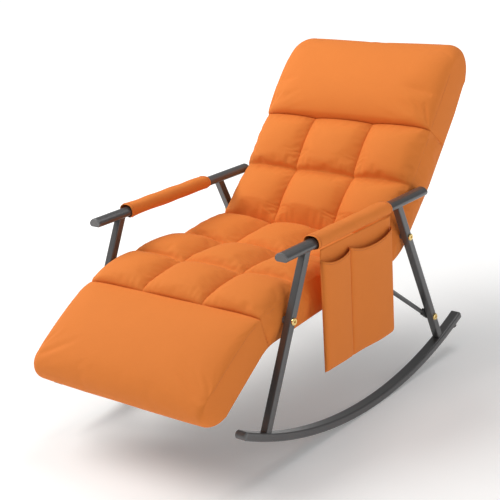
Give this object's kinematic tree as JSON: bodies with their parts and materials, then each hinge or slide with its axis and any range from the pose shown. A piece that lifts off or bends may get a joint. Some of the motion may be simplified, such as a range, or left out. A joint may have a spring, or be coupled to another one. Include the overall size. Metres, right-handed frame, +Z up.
{
  "type": "rocking lounge chair",
  "caption": "Rocking lounge chair with a bent steel frame on curved runners, a quilted seat, back and footrest pad, armrests with sleeves and a hanging side pocket.",
  "frame": {"origin": "on the floor, midway between the two runners where they touch it at rest", "axes": "+Z up, -Y to the front and the foot end, +X to the sitter's left, the side with the pocket"},
  "size_m": [0.6344, 1.1911, 0.8283],
  "materials": {
    "frame_paint": "satin charcoal powder coat",
    "bare_steel": "zinc plated",
    "end_plastic": "moulded, fine grain",
    "bumper_rubber": "matt black",
    "bolt_brass": "brushed, slightly dull",
    "cover_fabric": "smooth woven canvas",
    "sling_fabric": "coarse woven mesh",
    "underside_fabric": "plain lining cloth"
  },
  "bodies": {
    "chair": {"armrest_tube_left": "frame_paint", "armrest_tube_right": "frame_paint", "front_leg_left": "frame_paint", "front_leg_right": "frame_paint", "rear_leg_left": "frame_paint", "rear_leg_right": "frame_paint", "runner_left": "frame_paint", "runner_right": "frame_paint", "seat_rail_left": "frame_paint", "seat_rail_right": "frame_paint", "back_rail_left": "frame_paint", "back_rail_right": "frame_paint", "foot_tube": "frame_paint", "knee_tube": "frame_paint", "crease_tube": "frame_paint", "shoulder_tube": "frame_paint", "head_tube": "frame_paint", "seat_support_bar": "frame_paint", "rail_insert_left": "bare_steel", "rail_insert_right": "bare_steel", "lock_nuts": "bare_steel", "armrest_end_plugs_left": "end_plastic", "armrest_end_plugs_right": "end_plastic", "runner_nose_caps": "end_plastic", "runner_tail_caps": "end_plastic", "rail_end_plugs": "end_plastic", "spacer_bushes": "end_plastic", "rear_bumpers": "bumper_rubber", "seat_bolts": "bolt_brass", "support_bar_bolts": "bolt_brass", "leg_cushion": "cover_fabric", "seat_cushion": "cover_fabric", "back_cushion": "cover_fabric", "headrest_cushion": "cover_fabric", "armrest_sleeve_left": "cover_fabric", "armrest_sleeve_right": "cover_fabric", "support_sling": "sling_fabric", "cover_underside": "underside_fabric"},
    "pocket": {"pocket_back_panel": "cover_fabric", "pocket_front_narrow": "cover_fabric", "pocket_front_wide": "cover_fabric", "pocket_gussets": "cover_fabric"}
  },
  "joints": [
    {"name": "pocket_swing", "type": "hinge", "parent": "chair", "child": "pocket", "pos_m": [0.31, -0.0815, 0.4837], "axis": [0, -1, 0], "range_deg": [-9, 80]}
  ]
}
